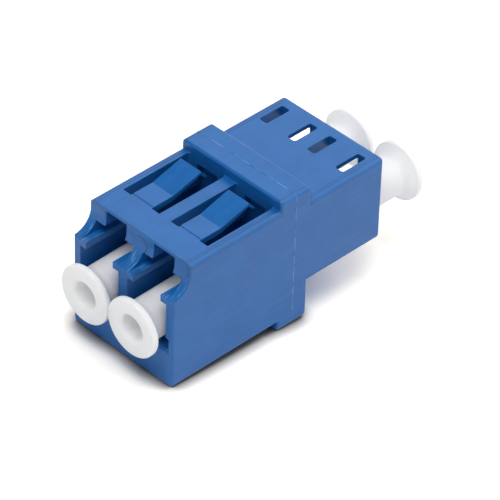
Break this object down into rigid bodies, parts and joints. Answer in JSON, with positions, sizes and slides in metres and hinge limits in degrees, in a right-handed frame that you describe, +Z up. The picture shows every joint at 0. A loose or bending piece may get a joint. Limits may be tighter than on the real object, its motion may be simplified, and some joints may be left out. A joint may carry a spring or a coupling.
{
  "type": "lc fibre adapter",
  "caption": "Duplex fibre adapter: blue moulded housing with a middle collar, latch tongues in roof windows, and white dust caps pushed into the ports.",
  "frame": {"origin": "on the underside of the collar, halfway across, at the weld in the collar's middle where the fibres meet", "axes": "+Y along the ports from the near end with the latch tongues to the far end, +X across the ports to the right seen from the near end, +Z up"},
  "size_m": [0.0132, 0.0346, 0.0151],
  "materials": {
    "housing": "satin moulded",
    "sleeve": "ground",
    "cap": "soft satin"
  },
  "bodies": {
    "housing": {"near_housing": "housing", "far_housing": "housing", "sleeve_left": "sleeve", "sleeve_right": "sleeve"},
    "cap_near_left_body": {"cap_near_left": "cap"},
    "cap_near_right_body": {"cap_near_right": "cap"},
    "cap_far_left_body": {"cap_far_left": "cap"},
    "cap_far_right_body": {"cap_far_right": "cap"}
  },
  "joints": [
    {"name": "cap_near_left_pull", "type": "slide", "parent": "housing", "child": "cap_near_left_body", "axis": [0, -1, 0], "range_m": [0, 0.025]},
    {"name": "cap_near_right_pull", "type": "slide", "parent": "housing", "child": "cap_near_right_body", "axis": [0, -1, 0], "range_m": [0, 0.025]},
    {"name": "cap_far_left_pull", "type": "slide", "parent": "housing", "child": "cap_far_left_body", "axis": [0, 1, 0], "range_m": [0, 0.025]},
    {"name": "cap_far_right_pull", "type": "slide", "parent": "housing", "child": "cap_far_right_body", "axis": [0, 1, 0], "range_m": [0, 0.025]}
  ]
}
